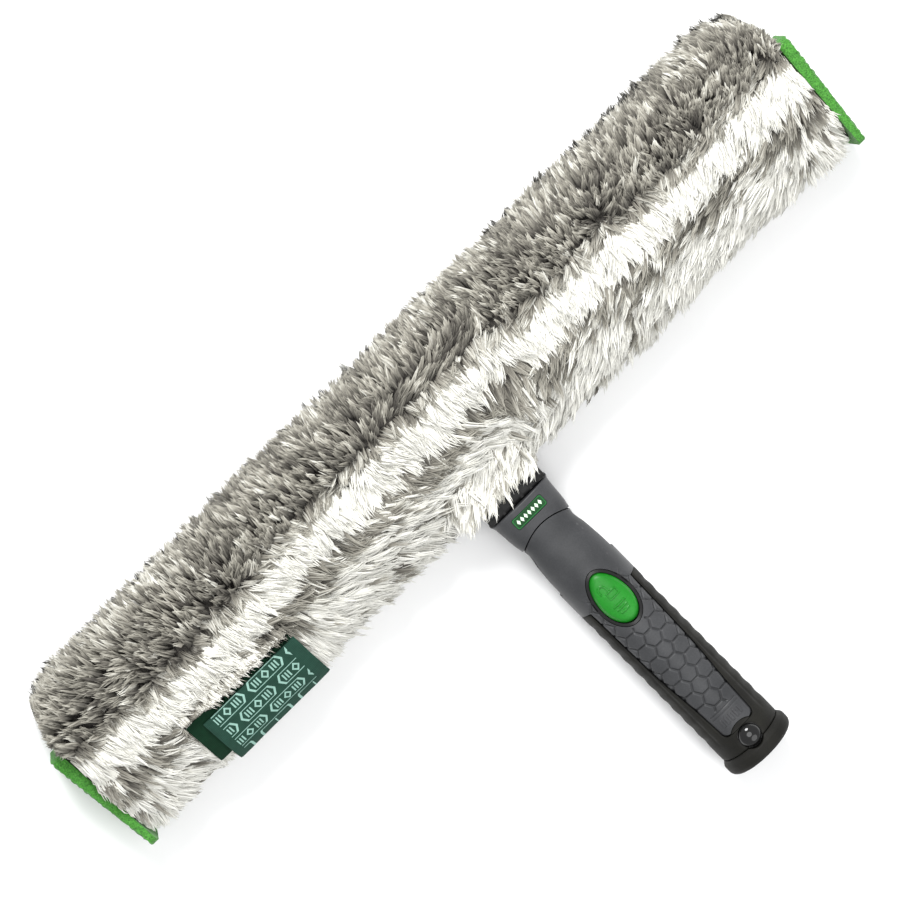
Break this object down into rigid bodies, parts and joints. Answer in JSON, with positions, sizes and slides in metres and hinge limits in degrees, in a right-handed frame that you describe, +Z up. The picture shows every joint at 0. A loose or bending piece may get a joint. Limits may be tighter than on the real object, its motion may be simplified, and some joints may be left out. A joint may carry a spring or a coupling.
{
  "type": "window washer applicator",
  "caption": "T-bar window washer with a striped microfibre sleeve, a locking swivel neck and a soft-grip handle with a pole socket and release buttons.",
  "frame": {"origin": "centre of the footprint, on the surface the tool lies on", "axes": "+X along the sleeve and T-bar, +Y from the handle's end to the sleeve's working edge, +Z up, out of the side with the buttons and the closure label"},
  "size_m": [0.451, 0.254, 0.0503],
  "materials": {
    "grey_plastic": "satin",
    "black_rubber": "matte",
    "black_plastic": "gloss",
    "green_plastic": "satin",
    "nylon": "satin",
    "steel": "satin",
    "aluminium": "satin",
    "microfibre": "matte",
    "green_pad": "matte",
    "green_tape": "matte",
    "dark_tape": "matte"
  },
  "bodies": {
    "handle": {"handle_shell_top": "grey_plastic", "handle_shell_bottom": "grey_plastic", "grip_overmould": "black_rubber", "end_ring": "black_rubber", "socket_insert": "black_plastic", "button_seal": "black_rubber", "pivot_pin": "steel", "swivel_washer_top": "nylon", "swivel_washer_bottom": "nylon", "lock_button_spring": "steel", "pole_lock_spring": "steel", "handle_screw_left": "steel", "handle_screw_right": "steel"},
    "head": {"swivel_hub": "black_plastic", "neck_cover_top": "grey_plastic", "neck_cover_bottom": "grey_plastic", "badge": "green_plastic", "neck_screw_left": "steel", "neck_screw_right": "steel", "t_bar_yoke": "black_plastic", "yoke_screw_left": "steel", "yoke_screw_right": "steel", "t_bar": "aluminium", "end_cap_left": "black_plastic", "end_cap_right": "black_plastic", "sleeve": "microfibre", "sleeve_end_pad_left": "green_pad", "sleeve_end_pad_right": "green_pad", "closure_strap": "dark_tape", "closure_label": "green_tape"},
    "lock_button": {"lock_button": "green_plastic"},
    "lock_pawl": {"lock_pawl": "nylon"},
    "pole_lock_button": {"pole_lock_button": "black_plastic"}
  },
  "joints": [
    {"name": "neck_swivel", "type": "hinge", "parent": "handle", "child": "head", "pos_m": [0, -0.003, 0.0179], "axis": [0, 0, 1], "range_deg": [-90, 90]},
    {"name": "unlock_press", "type": "slide", "parent": "handle", "child": "lock_button", "axis": [0, 0, -1], "range_m": [0, 0.0025], "stiffness_N_per_m": 900, "springref_m": -0.002, "deforming": ["lock_button_spring"]},
    {"name": "pawl_retract", "type": "slide", "parent": "handle", "child": "lock_pawl", "axis": [0, -1, 0], "range_m": [0, 0.0025]},
    {"name": "pole_lock_press", "type": "slide", "parent": "handle", "child": "pole_lock_button", "axis": [0, 0, -1], "range_m": [0, 0.0023], "stiffness_N_per_m": 900, "springref_m": -0.0015, "deforming": ["pole_lock_spring"]}
  ],
  "couplings": [
    {"joint": "pawl_retract", "follows": "unlock_press", "ratio": 1}
  ]
}
